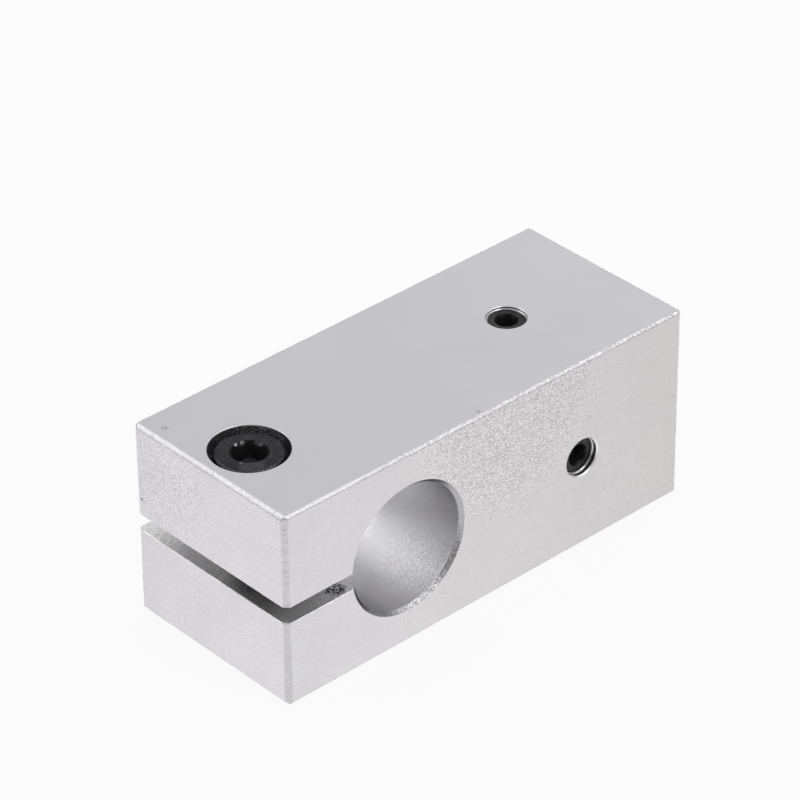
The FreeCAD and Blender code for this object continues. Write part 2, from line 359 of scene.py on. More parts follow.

# light and shade are the two ends of a finish's tone, and stretch pulls its tool marks out
# coarse: centre, radius and gain of a rough patch; spots, and the steel's painted glints and scuffs:
# centre, radius and strength
# painted shading: painted light and shade along an axis, where along it a tint starts and is full, and that
# tint
aluminiumLooks = {
    "milledFace": {
        "light": (0.725, 0.715, 0.757), "shade": (0.625, 0.616, 0.652), "roughness": 0.34,
        "grainSize": 0.30, "grainTone": 0.10, "stretch": (0.08, 3.0, 3.0), "markTone": 0.08,
        "grainBump": 0.10, "markBump": 0.08, "smudge": 0.20, "scratch": 0.10,
        # painted light: the top is lighter towards its far end (+X)
        "paintedShading": [("X", -19.3, 45.7, (1.09, 1.09, 1.08))],
        "spots": [((-17.29, 10.09, 13.5), 0.55, 0.35), ((12.01, -12.77, 13.5), 0.4, 0.3)],
    },
    "blastedSide": {
        "light": (0.990, 0.973, 0.995), "shade": (0.630, 0.620, 0.633), "roughness": 0.46,
        "grainSize": 0.20, "grainTone": 0.20, "stretch": (0.05, 1.0, 1.2), "markTone": 0.03,
        "grainBump": 0.35, "smudge": 0.07, "scratch": 0.04,
        "coarse": ((16.5, -13.5, 12.0), 15.5, 1.0), "fleck": 2.3, "fleckSize": 0.11, "fleckBump": 0.8,
        # painted shade: the side is darker and warmer towards its far end (+X)
        "paintedShading": [("X", -19.3, 45.7, (0.865, 0.843, 0.830))],
    },
    "sawnEnd": {
        "light": (0.940, 0.911, 0.958), "shade": (0.665, 0.645, 0.678), "roughness": 0.42,
        "grainSize": 0.28, "grainTone": 0.50, "stretch": (1.0, 0.15, 2.2), "markTone": 0.12,
        "grainBump": 0.45, "markBump": 0.12, "smudge": 0.16, "scratch": 0.05,
        "coarse": ((-19.3, 8.0, 7.5), 9.0, 1.5), "fleck": 0.9,
        # painted shade: the end is a little darker towards +Y
        "paintedShading": [("Y", -13.5, 13.5, (0.94, 0.94, 0.94))],
        "spots": [((-19.3, 12.36, 3.12), 0.24, 0.95)],
    },
    "brokenEdge": {
        "light": (0.910, 0.897, 0.925), "shade": (0.690, 0.680, 0.701), "roughness": 0.36,
        "grainSize": 0.35, "grainTone": 0.50, "stretch": (1.5, 1.5, 1.5), "markTone": 0.20,
        "grainBump": 0.45, "markBump": 0.20,
        "coarse": ((30.0, -13.3, 13.3), 36.0, 1.0), "fleck": 2.4, "fleckSize": 0.20, "fleckBump": 3.6,
        # painted shade: the broken edges are darker towards the bottom
        "paintedShading": [("Z", 8.0, -12.0, (0.78, 0.78, 0.79))],
    },
    # painted light: a lighter copy of the broken edge for the tapped holes' rims
    "holeRim": {
        "light": (0.990, 0.980, 0.995), "shade": (0.860, 0.850, 0.865), "roughness": 0.34,
        "grainSize": 0.20, "grainTone": 0.40, "stretch": (1.5, 1.5, 1.5), "markTone": 0.20,
        "grainBump": 0.40, "markBump": 0.20, "smudge": 0.05,
        # painted shade: the top hole's rim is darker
        "paintedShading": [("Z", 11.0, 13.3, (0.84, 0.84, 0.85))],
    },
    "crossBoreWall": {
        "light": (0.982, 0.975, 0.987), "shade": (0.850, 0.843, 0.854), "roughness": 0.23,
        "grainSize": 0.30, "grainTone": 0.30, "stretch": (0.10, 5.0, 0.10), "markTone": 0.15,
        "grainBump": 0.25, "markBump": 0.15, "smudge": 0.08,
        "coarse": ((5.0, -9.0, -6.8), 5.5, 2.0), "fleck": 0.9, "fleckBump": 0.25,
        "paintedSheenBand": (-56, 58, (0.66, 0.66, 0.665)),  # painted sheen band: middle and reach in degrees, painted shade tint beside it
        "aroundBlur": 0.95,
    },
    "stemBoreWall": {
        "light": (0.880, 0.872, 0.886), "shade": (0.640, 0.633, 0.645), "roughness": 0.36,
        "grainSize": 0.30, "grainTone": 0.25, "stretch": (5.0, 0.10, 0.10), "markTone": 0.25,
        "grainBump": 0.20, "markBump": 0.40,
    },
    "boreRim": {
        "light": (0.990, 0.980, 0.995), "shade": (0.560, 0.553, 0.564), "roughness": 0.26,
        "grainSize": 0.20, "grainTone": 0.60, "stretch": (2.0, 2.0, 2.0), "markTone": 0.20,
        "grainBump": 0.80, "markBump": 0.30, "smudge": 0.05,
        "coarse": ((4.8, -13.3, -7.2), 7.0, 3.0), "fleck": 1.6, "fleckBump": 3.0,
        # painted shade: the bore rims are darker towards -X and above the cross bore's bottom, leaving a
        # painted highlight along that bottom
        "paintedShading": [("X", 1.0, -3.0, (0.46, 0.46, 0.47)), ("Z", -7.6, -5.6, (0.62, 0.62, 0.625))],
    },
    "counterboreWall": {
        "light": (0.860, 0.852, 0.866), "shade": (0.480, 0.474, 0.484), "roughness": 0.30,
        "grainSize": 0.24, "grainTone": 0.40, "stretch": (5.0, 5.0, 0.4), "markTone": 0.90,
        "grainBump": 0.60, "markBump": 1.20,
        "coarse": ((-9.4, 3.7, 12.2), 5.0, 1.2), "fleck": 1.8, "fleckBump": 4.0,
    },
    "tappedWall": {
        "light": (0.880, 0.872, 0.884), "shade": (0.640, 0.632, 0.644), "roughness": 0.24,
        "grainSize": 0.25, "grainTone": 0.30, "markTone": 0.10, "grainBump": 0.25,
    },
    # painted shade: a darker copy of the tapped wall for the holes' mouths
    "tappedMouth": {
        "light": (0.520, 0.515, 0.522), "shade": (0.200, 0.198, 0.201), "roughness": 0.28,
        "grainSize": 0.18, "grainTone": 0.50, "markTone": 0.10, "grainBump": 0.30,
    },
    "sawnSlit": {
        "light": (1.000, 0.992, 1.000), "shade": (0.850, 0.843, 0.850), "roughness": 0.38,
        "grainSize": 0.26, "grainTone": 0.40, "stretch": (2.4, 0.18, 1.0), "markTone": 0.25,
        "grainBump": 1.30, "markBump": 0.45, "smudge": 0.15,
        "fleck": 1.8, "fleckSize": 0.22, "fleckBump": 4.0,
        # painted light and shade: the slit is lighter at its open +Y end and near -Y, and darker between
        "paintedShading": [("Y", 11.0, 6.0, (0.88, 0.88, 0.88)), ("Y", -1.0, -5.0, (0.76, 0.76, 0.76)),
                  ("Y", -8.0, -11.5, (1.41, 1.41, 1.41))],
        "spots": [((-10.40, -12.0, -1.6), 1.5, 0.97)],
    },
}

bumpDepth = 0.02 * mm  # height of a full-strength grain or tool mark
spotColour = (0.035, 0.034, 0.032, 1)
scratchColour = (0.92, 0.91, 0.93, 1)
# bare steel, for painted glints and for scuffs
glintAndScuffColour = (0.92, 0.92, 0.94, 1)
spotSpeckle = 0.9  # how far spots, painted glints and scuffs break up into crumbs
fleckElsewhere = 0.06  # strength of the flecks outside a coarse patch
grainGain = 3.0  # how strongly grains show in a finish's tone
fullSwing = 2.0  # noise swings by half a unit each way
aluminiumRough = (0.07, 0.05)  # rougher in the shade, smoother in the light


def metalMaterial(name, metallic):
    material = bpy.data.materials.new(name)
    material.use_nodes = True
    shader = material.node_tree.nodes["Principled BSDF"]
    shader.inputs["Metallic"].default_value = metallic
    return material, material.node_tree, shader


def groupOutputs(tree, group, inputs):
    return addNode(tree, "ShaderNodeGroup", inputs, node_tree=group).outputs


def addSpots(tree, colour, spots, paint):
    for centre, radius, strength in spots:
        inputs = {"Centre": centre, "Radius": radius, "Speckle": spotSpeckle}
        mask = groupOutputs(tree, spotGroup, inputs)["Mask"]
        colour = mixColour(tree, calc(tree, "MULTIPLY", mask, strength), colour, paint)
    return colour


def addBump(tree, shader, height):
    bump = addNode(tree, "ShaderNodeBump", {"Strength": 1.0, "Distance": bumpDepth, "Height": height})
    tree.links.new(bump.outputs[0], shader.inputs["Normal"])


def aluminiumFinish(name, look):
    material, tree, shader = metalMaterial(name, 1.0)
    grainSizes = {"Grain Size": look["grainSize"], "Fleck Size": look["fleckSize"]}
    grain = groupOutputs(tree, grainGroup, grainSizes)
    marks = groupOutputs(tree, marksGroup, {"Stretch": look["stretch"]})["Marks"]
    handling = groupOutputs(tree, handlingGroup, {})
    lines = calc(tree, "SUBTRACT", marks, 0.5)
    swing = grain["Height"]
    fleck = grain["Fleck"]
    if "coarse" in look:
        centre, radius, gain = look["coarse"]
        patch = groupOutputs(tree, spotGroup, {"Centre": centre, "Radius": radius})["Mask"]
        swing = calc(tree, "MULTIPLY", swing, ranged(tree, patch, 0.0, 1.0, 1.0, gain))
        fleck = calc(tree, "MULTIPLY", fleck, ranged(tree, patch, 0.0, 1.0, fleckElsewhere, 1.0))
    tone = calc(tree, "MULTIPLY", swing, grainGain * look["grainTone"])
    tone = calc(tree, "ADD", tone, calc(tree, "MULTIPLY", fleck, look["fleck"]))
    tone = calc(tree, "ADD", tone, calc(tree, "MULTIPLY", lines, fullSwing * look["markTone"]))
    smudge = calc(tree, "SUBTRACT", handling["Smudge"], 0.5)
    blot = calc(tree, "MULTIPLY", smudge, fullSwing * look["smudge"])
    tone = calc(tree, "ADD", calc(tree, "ADD", tone, blot), 0.5, clamp=True)
    colour = mixColour(tree, tone, (*look["shade"], 1), (*look["light"], 1))
    # painted light and shade: the colour is tinted lighter or darker along an axis
    for axis, start, end, tint in look["paintedShading"]:
        along = addNode(tree, "ShaderNodeSeparateXYZ", {0: placeInMm(tree)}).outputs[axis]
        share = ranged(tree, along, start, end, 0.0, 1.0)
        colour = mixColour(tree, share, colour, (*tint, 1), "MULTIPLY")
    if "paintedSheenBand" in look:
        # painted sheen: the bore's colour stays lightest along one line and is painted duller to both sides
        # of it, as far as its hidden half
        middle, reach, tint = look["paintedSheenBand"]
        parts = addNode(tree, "ShaderNodeSeparateXYZ", {0: placeInMm(tree)}).outputs
        angle = calc(tree, "ARCTAN2", parts["Z"], parts["X"])
        away = calc(tree, "ABSOLUTE", calc(tree, "SUBTRACT", angle, math.radians(middle)))
        dull = ranged(tree, away, 0.0, math.radians(reach), 0.0, 1.0)
        near = ranged(tree, away, math.radians(1.5 * reach), math.radians(2 * reach), 1.0, 0.0)
        colour = mixColour(tree, calc(tree, "MULTIPLY", dull, near), colour, (*tint, 1), "MULTIPLY")
    scratched = calc(tree, "MULTIPLY", handling["Scratch"], look["scratch"])
    colour = mixColour(tree, scratched, colour, scratchColour)
    colour = addSpots(tree, colour, look["spots"], spotColour)
    tree.links.new(colour, shader.inputs["Base Color"])
    rise, fall = aluminiumRough
    rough = ranged(tree, tone, 0.0, 1.0, look["roughness"] + rise, look["roughness"] - fall)
    tree.links.new(rough, shader.inputs["Roughness"])
    height = calc(tree, "MULTIPLY", swing, fullSwing * look["grainBump"])
    height = calc(tree, "ADD", height, calc(tree, "MULTIPLY", lines, fullSwing * look["markBump"]))
    height = calc(tree, "ADD", height, calc(tree, "MULTIPLY", fleck, look["fleckBump"]))
    addBump(tree, shader, height)
    if "aroundBlur" in look:
        # fine marks along the cross bore spread its reflections around it
        shader.inputs["Anisotropic"].default_value = look["aroundBlur"]
        facing = addNode(tree, "ShaderNodeNewGeometry").outputs["Normal"]
        around = vectorCalc(tree, "CROSS_PRODUCT", facing, mountNamed("cross_bore")["axis"])["Vector"]
        tree.links.new(around, shader.inputs["Tangent"])
    return material


# wear: grain noise from whole oxide to bare steel
steelLooks = {
    "blackOxide": {
        "light": (0.042, 0.042, 0.048), "shade": (0.018, 0.018, 0.021), "bare": (0.42, 0.41, 0.40),
        "roughness": 0.36, "wear": (0.70, 0.78), "bump": 0.25,
        # scuffs: bare steel rubbed through the oxide on the head
        "paintedGlintsAndScuffs": [((-15.0, -1.1, 13.1), 0.27, 0.16), ((-14.6, -2.6, 13.1), 1.7, 0.05)],
    },
    # painted light: a lighter copy of the oxide for the socket's walls, to brighten the deep hexagon
    "blackOxideSocket": {
        "light": (0.200, 0.201, 0.205), "shade": (0.095, 0.096, 0.098), "bare": (0.60, 0.59, 0.58),
        "roughness": 0.30, "wear": (0.66, 0.74), "bump": 0.45,
    },
    # painted shade: a darker copy of the oxide for the socket's lead
    "blackOxideLead": {
        "light": (0.022, 0.022, 0.023), "shade": (0.006, 0.006, 0.007), "bare": (0.60, 0.59, 0.58),
        "roughness": 0.34, "wear": (0.68, 0.76), "bump": 0.45,
        # painted glints: bare steel where the lead catches light
        "paintedGlintsAndScuffs": [((-12.95, 2.42, 13.03), 0.34, 0.9), ((-12.0, 2.2, 13.03), 0.4, 0.13),
                   ((-10.6, 0.7, 13.0), 0.65, 0.10)],
    },
    # painted light: a lighter copy of the oxide for the knurl, to brighten the dark gap around the head,
    # with worn bare specks
    "blackOxideKnurl": {
        "light": (0.120, 0.120, 0.126), "shade": (0.030, 0.030, 0.033), "bare": (0.70, 0.69, 0.68),
        "roughness": 0.30, "wear": (0.61, 0.70), "bump": 0.45,
    },
    "blackOxideThread": {
        "light": (0.045, 0.045, 0.050), "shade": (0.012, 0.012, 0.014), "bare": (0.50, 0.49, 0.48),
        "roughness": 0.28, "wear": (0.66, 0.76), "bump": 0.20,
    },
    "blackOxideDull": {
        "light": (0.075, 0.075, 0.080), "shade": (0.004, 0.004, 0.005), "bare": (0.40, 0.39, 0.38),
        "roughness": 0.34, "wear": (0.72, 0.80), "bump": 0.25,
    },
}

steelOxide = {
    "metallic": 0.9,
    "grain": {"Grain Size": 0.16, "Patch Size": 2.0},
    "handling": {"Smudge Size": 1.6, "Scratch Limit": 0.70},
    "grainTone": 1.4,
    "scratchWear": 0.2,  # how far a scratch helps to rub the oxide off
    "smudgeRange": (0.25, 0.75),
    "rough": (0.10, 0.08),  # rougher where clean, smoother where oily
}


def steelFinish(name, look):
    material, tree, shader = metalMaterial(name, steelOxide["metallic"])
    grain = groupOutputs(tree, grainGroup, steelOxide["grain"])
    handling = groupOutputs(tree, handlingGroup, steelOxide["handling"])
    swing = calc(tree, "MULTIPLY", grain["Height"], steelOxide["grainTone"])
    tone = calc(tree, "ADD", swing, handling["Smudge"], clamp=True)
    colour = mixColour(tree, tone, (*look["shade"], 1), (*look["light"], 1))
    scratched = calc(tree, "MULTIPLY", handling["Scratch"], steelOxide["scratchWear"])
    worn = calc(tree, "ADD", grain["Tone"], scratched)
    rubbed = ranged(tree, worn, *look["wear"], 0.0, 1.0)
    colour = mixColour(tree, rubbed, colour, (*look["bare"], 1))
    # painted glints on the lead, and scuffs where the oxide is rubbed through
    colour = addSpots(tree, colour, look.get("paintedGlintsAndScuffs", []), glintAndScuffColour)
    tree.links.new(colour, shader.inputs["Base Color"])
    rise, fall = steelOxide["rough"]
    rough = ranged(tree, handling["Smudge"], *steelOxide["smudgeRange"],
                   look["roughness"] + rise, look["roughness"] - fall)
    tree.links.new(rough, shader.inputs["Roughness"])
    addBump(tree, shader, calc(tree, "MULTIPLY", grain["Height"], fullSwing * look["bump"]))
    return material


finishes = {}
for name, look in aluminiumLooks.items():
    finishes[name] = aluminiumFinish(name, {**plainAluminium, **look})
for name, look in steelLooks.items():
    finishes[name] = steelFinish(name, look)
print("finishes ready:", ", ".join(finishes))


# Shaping tools: closed solids in millimetres, added to and cut from each other

fullTurn = 2 * math.pi
sharpBend = math.radians(30)  # an edge that bends more is drawn sharp


def neighbours(loop):
    # each corner of a closed loop with the one that follows it
    return zip(loop, loop[1:] + loop[:1])


def newSolid(name, points, faces, finish):
    # one finish for the whole solid, or a list with one for each face
    mesh = bpy.data.meshes.new(name)
    mesh.from_pydata(points, [], faces)
    perFace = [finish] * len(faces) if isinstance(finish, str) else finish
    used = sorted(set(perFace))
    for label in used:
        mesh.materials.append(finishes[label])
    mesh.polygons.foreach_set("material_index", [used.index(label) for label in perFace])
    solid = bpy.data.objects.new(name, mesh)
    scene.collection.objects.link(solid)
    return solid


def turnedSolid(name, profile, finish, columns, uneven=None, strips=None):
    # the profile's (radius, height) points run down from the axis to the axis
    # strips gives other finishes to single strips, counted from the top
    rings = profile[1:-1]
    points = [(0, 0, profile[0][1])]
    for number, (radius, height) in enumerate(rings):
        for column in range(columns):
            angle = fullTurn * column / columns
            reach = radius + (uneven(number, angle) if uneven else 0)
            points.append((reach * math.cos(angle), reach * math.sin(angle), height))
    points.append((0, 0, profile[-1][1]))
    last = len(points) - 1
    bottom = 1 + (len(rings) - 1) * columns
    faces = []
    perFace = []
    for column in range(columns):
        following = (column + 1) % columns
        faces.append((0, 1 + column, 1 + following))
        faces.append((last, bottom + following, bottom + column))
        perFace += [finish, finish]
        for number in range(len(rings) - 1):
            upper = 1 + number * columns
            lower = upper + columns
            faces.append((upper + column, lower + column, lower + following, upper + following))
            perFace.append((strips or {}).get(number, finish))
    return newSolid(name, points, faces, perFace)


def threadedRod(name, outer, inner, low, high, finish, start=0.0):
    # right-hand thread on a skewed grid: the end of a row meets the start of the row one pitch higher
    pitch = thread["pitch"]
    columns = thread["columns"]
    crest, flank, root = 1 / 8, 5 / 16, 1 / 4  # shares of the pitch
    form = [(0.0, outer), (crest, outer), (crest + flank, inner), (crest + flank + root, inner)]
    step = len(form)
    firstTurn = math.floor(low / pitch) - 2 + start
    top = step * (math.ceil(high / pitch - firstTurn) + 2)
    points = []
    for row in range(top + 1):
        share, radius = form[row % step]
        for column in range(columns):
            angle = fullTurn * column / columns
            height = pitch * (firstTurn + row // step + share + column / columns)
            points.append((radius * math.cos(angle), radius * math.sin(angle), height))

    def spot(row, column):
        if column == columns:
            return (row + step) * columns
        return row * columns + column

    faces = []
    for column in range(columns):
        for row in range(top if column < columns - 1 else top - step):
            corners = [(row + 1, column), (row, column), (row, column + 1), (row + 1, column + 1)]
            faces.append([spot(*corner) for corner in corners])
    lowRim = [spot(0, column) for column in range(columns)] + [spot(row, 0) for row in range(step, 0, -1)]
    highRim = [spot(top, column) for column in range(columns)]
    highRim += [spot(row, columns - 1) for row in range(top - 1, top - step - 1, -1)]
    foot = len(points)
    points.append((0, 0, points[0][2]))
    crown = foot + 1
    points.append((0, 0, points[spot(top, 0)][2]))
    faces += [(foot, following, corner) for corner, following in neighbours(lowRim)]
    faces += [(crown, corner, following) for corner, following in neighbours(highRim)]
    return newSolid(name, points, faces, finish)


def hexPrism(name, acrossFlats, low, high, cornerDegrees, finish):
    radius = acrossFlats / math.sqrt(3)
    points = []
    for height in (low, high):
        for corner in range(6):
            angle = math.radians(cornerDegrees + 60 * corner)
            points.append((radius * math.cos(angle), radius * math.sin(angle), height))
    faces = [(5, 4, 3, 2, 1, 0), (6, 7, 8, 9, 10, 11)]
    faces += [(side, (side + 1) % 6, 6 + (side + 1) % 6, 6 + side) for side in range(6)]
    return newSolid(name, points, faces, finish)


def combine(solid, tools, operation):
    for tool in tools:
        step = solid.modifiers.new(tool.name, "BOOLEAN")
        step.object = tool
        step.operation = operation
        step.solver = "MANIFOLD"
        step.material_mode = "TRANSFER"
    worked = solid.evaluated_get(bpy.context.evaluated_depsgraph_get())
    shaped = bpy.data.meshes.new_from_object(worked)
    solid.modifiers.clear()
    solid.data = shaped
    for tool in tools:
        bpy.data.objects.remove(tool)
    return solid


def moved(solid, matrix):
    solid.data.transform(matrix)
    return solid


def markSharpEdges(mesh):
    # an edge is sharp where it bends or where two finishes meet
    shape = bmesh.new()
    shape.from_mesh(mesh)
    for edge in shape.edges:
        sides = edge.link_faces
        sameFinish = len(sides) == 2 and sides[0].material_index == sides[1].material_index
        edge.smooth = sameFinish and edge.calc_face_angle(0.0) < sharpBend
    shape.to_mesh(mesh)
    shape.free()


def finishPiece(solid, body, node):
    solid.data.transform(Matrix.Scale(mm, 4))
    solid.data.shade_smooth()
    markSharpEdges(solid.data)
    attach(solid, body)
    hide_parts(node)
    print(solid.name, "done:", len(solid.data.polygons), "faces")


# Thread and axes that the block and its screws share

thread = {
    "pitch": 0.8,
    "columns": 96,
    "screwOuter": 2.47,
    "screwInner": 2.04,
    "gap": 0.06,  # between a screw's thread and its hole's, on the radius
    "mouthRadius": 2.54,
    "mouthEdges": {"top": 0.10, "side": 0.16, "base": 0.10},  # broken rim of each tapped hole
    "ledgeRadius": 2.48,  # where the first crest starts, level with a set screw's end
    "ledgeHeight": 0.06,
    "setHoleInner": 2.34,  # the set screws' holes have shallow crests
    "plainEnd": (2.32, 0.2),  # radius and length of a set screw's end without thread
    "blankOver": 0.02,  # how much wider a screw's blank is than its thread
    "overrun": 1.0,  # how far a threaded rod passes its blank
}

clampAxis = Matrix.Translation(((clampLow.x + clampHigh.x) / 2, (clampLow.y + clampHigh.y) / 2, 0))
topAxis = Matrix.Translation(((topLow.x + topHigh.x) / 2, (topLow.y + topHigh.y) / 2, 0))
sideAxis = Matrix.Translation(((sideLow.x + sideHigh.x) / 2, 0, (sideLow.z + sideHigh.z) / 2))
sideAxis = sideAxis @ Matrix.Rotation(math.radians(90), 4, "X")  # its local +Z points out of the side


# Block

blockShape = {
    "edges": (0.42, 0.56, 0.66),  # width of the broken edges that run along X, Y and Z
    # strips of a broken edge: bend in degrees and share of its width
    "edgeStrips": ((12, 0.12), (34, 0.20), (45, 0.82), (56, 0.20), (78, 0.12)),
    "edgeStep": 0.20,  # spacing of the points along them
    "edgeWander": 0.11,
    "edgeWaves": ((1.0, 0.35), (0.8, 1.9), (1.6, 4.3)),  # strength and pace of the wander's waves
    "cornerTip": (0.03, 0.03, 0.12),  # how far a broken corner's tip stands out
    "boreColumns": 540,
    "rimEdge": 0.50,  # broken rim of the two bores
    "rimChatter": 0.045,
    "counterboreColumns": 240,
    "counterboreRadius": 4.97,
    "counterboreEdge": 0.06,
    "shankHoleRadius": 2.75,
    "baseMouth": 0.3,  # depth of the tapped hole's plain mouth in the base
    "slitMiddle": -0.5,
    "slitHalf": 1.1,
    "slitEdge": 0.09,  # broken edge of the slit
    "slitStep": 0.27,
    "slitPast": 0.6,  # how far the saw went past the bore's wall
    "lipWander": {1: 0.4, -1: 0.9},  # the lower lip is the rougher one
    "lipPace": 1.9,
    "lipApart": 9.0,  # keeps the two lips apart in the noise
    "sawPace": (2.2, 0.25),  # across and along the saw's marks
    "sawApart": 5.0,
    "sawDepth": 0.015,
    "overrun": 0.6,  # how far cutters pass the block's faces
}


def unevenWidth(width, place):
    wander = sum(strength * noise.noise(place * pace) for strength, pace in blockShape["edgeWaves"])
    return width * (1 + blockShape["edgeWander"] * wander)


def edgeRows():
    # how far each row of a broken edge lies in from the first and the second face, for a width of one
    rows = [(0.0, 1.0)]
    for bend, length in blockShape["edgeStrips"]:
        inFirst, inSecond = rows[-1]
        bend = math.radians(bend)
        rows.append((inFirst + length * math.sin(bend), inSecond - length * math.cos(bend)))
    rows[-1] = (1.0, 0.0)
    return rows


def blockBlank():
    # a box whose twelve edges are broken by hand, so each edge is a little round and its width wanders
    middle = (blockLow + blockHigh) / 2
    half = (blockHigh - blockLow) / 2
    edges = blockShape["edges"]
    shares = edgeRows()
    points = []
    known = {}
    faces = []
    perFace = []
    faceFinish = ("sawnEnd", "blastedSide", "milledFace")  # across X, Y and Z
    otherSide = Vector((31.7, 11.3, 5.1))  # takes an edge's two sides to different places in the noise

    def pointAt(place):
        key = tuple(round(value, 4) for value in place)
        if key not in known:
            known[key] = len(points)
            points.append(place + middle)
        return known[key]

    def addFace(corners, outward, finish):
        faces.append(corners if outward else corners[::-1])
        perFace.append(finish)

    # twelve edges, each a ribbon of strips between two faces
    borders = {}
    cornerEnds = {}
    for axis in range(3):
        first, second = (axis + 1) % 3, (axis + 2) % 3
        steps = round(2 * half[axis] / blockShape["edgeStep"])
        for firstSign, secondSign in product((-1, 1), repeat=2):
            rows = [[] for share in shares]
            for step in range(steps + 1):
                along = 2 * step / steps - 1
                base = Vector((0, 0, 0))
                base[axis] = along * half[axis]
                base[first] = firstSign * half[first]
                base[second] = secondSign * half[second]
                onFirst = onSecond = edges[axis]
                if 0 < step < steps:
                    onFirst = unevenWidth(edges[axis], base)
                    onSecond = unevenWidth(edges[axis], base + otherSide)
                for row, (inFirst, inSecond) in zip(rows, shares):
                    place = base.copy()
                    reach = half[axis] - edges[second] * (1 - inFirst) - edges[first] * inFirst
                    place[axis] = along * reach
                    place[first] -= firstSign * inFirst * onSecond
                    place[second] -= secondSign * inSecond * onFirst
                    row.append(pointAt(place))
            borders[first, firstSign, axis, secondSign] = rows[0]
            borders[second, secondSign, axis, firstSign] = rows[-1]
            for end, sign in ((0, -1), (-1, 1)):
                signs = [0, 0, 0]
                signs[axis], signs[first], signs[second] = sign, firstSign, secondSign
                cornerEnds[tuple(signs), axis] = [row[end] for row in rows]
            for upper, lower in zip(rows, rows[1:]):
                for step in range(steps):
                    corners = (upper[step], lower[step], lower[step + 1], upper[step + 1])
                    addFace(corners, firstSign * secondSign > 0, "brokenEdge")
    # six faces, each inside the borders of four ribbons
    for axis in range(3):
        first, second = (axis + 1) % 3, (axis + 2) % 3
        for sign in (-1, 1):
            loop = borders[axis, sign, first, -1][:-1] + borders[axis, sign, second, 1][:-1]
            loop += borders[axis, sign, first, 1][:0:-1] + borders[axis, sign, second, -1][:0:-1]
            addFace(loop, sign > 0, faceFinish[axis])
    # eight corners, each a fan around its tip
    for signs in product((-1, 1), repeat=3):
        loop = cornerEnds[signs, 2][:-1] + cornerEnds[signs, 0][:-1] + cornerEnds[signs, 1][:-1]
        tip = sum((points[corner] for corner in loop), Vector((0, 0, 0))) / len(loop) - middle
        tip = pointAt(tip + Vector([sign * out for sign, out in zip(signs, blockShape["cornerTip"])]))
        for corner, following in neighbours(loop):
            addFace((tip, corner, following), math.prod(signs) > 0, "brokenEdge")
    return newSolid("clampBlock", points, faces, perFace)


rimShake = {
    "steady": 0.35,  # share of the shake that is there all around
    "worstDegrees": 50,  # where the tool left the cut
    "pace": 24,
    "ringGap": 7.0,
    "fineShare": 0.8,
    "finePace": 2.1,
}


def chatter(rings):
    # a rim cut with a shaking tool: only the listed rings wander
    def offset(number, angle):
        if number not in rings:
            return 0.0
        nearWorst = max(0.0, math.cos(angle - math.radians(rimShake["worstDegrees"])))
        shaking = rimShake["steady"] + (1 - rimShake["steady"]) * nearWorst ** 2
        pace = rimShake["pace"]
        place = Vector((math.cos(angle) * pace, math.sin(angle) * pace, rimShake["ringGap"] * number))
        wave = noise.noise(place) + rimShake["fineShare"] * noise.noise(place * rimShake["finePace"])
        return blockShape["rimChatter"] * shaking * wave
    return offset


def boreMouth(face):
    # profile of a bore's broken rim, from outside the face to the plain wall
    rim = blockShape["rimEdge"]
    out = blockShape["overrun"]
    return [(0, face + out), (boreRadius + rim + out, face + out),
            (boreRadius + rim / 2, face - rim / 2), (boreRadius, face - rim)]


def boreCutters():
    columns = blockShape["boreColumns"]
    mouth = boreMouth(blockHigh.y)
    farMouth = [(radius, -height) for radius, height in reversed(mouth)]
    cross = turnedSolid("crossBore", mouth + farMouth, "crossBoreWall", columns,
                        chatter((0, 1, 4, 5)), dict.fromkeys((0, 1, 3, 4), "boreRim"))
    moved(cross, Matrix.Rotation(math.radians(-90), 4, "X"))
    floor = blockHigh.x - blockShape["rimEdge"] - stemMount["dims"]["length_mm"]
    stemProfile = boreMouth(blockHigh.x) + [(boreRadius, floor), (0, floor)]
    stem = turnedSolid("stemBore", stemProfile, "stemBoreWall", columns,
                       chatter((0, 1)), dict.fromkeys((0, 1), "boreRim"))
    moved(stem, Matrix.Rotation(math.radians(90), 4, "Y"))
    return [cross, stem]


def threadMouth(hole, face, ledge, sign):
    # plain mouth of a tapped hole, open to the thread's full width as far as the ledge
    out = blockShape["overrun"]
    radius = thread["mouthRadius"]
    edge = thread["mouthEdges"][hole]
    profile = [(0, face + sign * out), (radius + edge + out, face + sign * out),
               (radius, face - sign * edge), (radius, ledge + sign * thread["ledgeHeight"]),
               (thread["ledgeRadius"], ledge), (0, ledge)]
    # the mouth's wall takes painted shade, and its broken rim takes painted light
    strips = {0 if sign > 0 else 2: "holeRim", 1: "tappedMouth"}
    return turnedSolid(hole + "Mouth", profile if sign > 0 else profile[::-1], "tappedWall",
                       2 * thread["columns"], strips=strips)


def clampHoleCutters():
    out = blockShape["overrun"]
    top = blockHigh.z
    seat = clampHigh.z - headShape["height"]
    radius = blockShape["counterboreRadius"]
    edge = blockShape["counterboreEdge"]
    profile = [(0, top + out), (radius + edge + out, top + out), (radius, top - edge), (radius, seat),
               (blockShape["shankHoleRadius"], seat), (blockShape["shankHoleRadius"], 0), (0, 0)]
    upper = turnedSolid("clampHole", profile, "counterboreWall", blockShape["counterboreColumns"],
                        strips={0: "brokenEdge"})
    lower = threadedRod("clampThread", thread["screwOuter"] + thread["gap"],
                        thread["screwInner"] + thread["gap"], blockLow.z - out, 0, "tappedWall")
    mouth = threadMouth("base", blockLow.z, blockLow.z + blockShape["baseMouth"], -1)
    return [moved(tool, clampAxis) for tool in (upper, lower, mouth)]


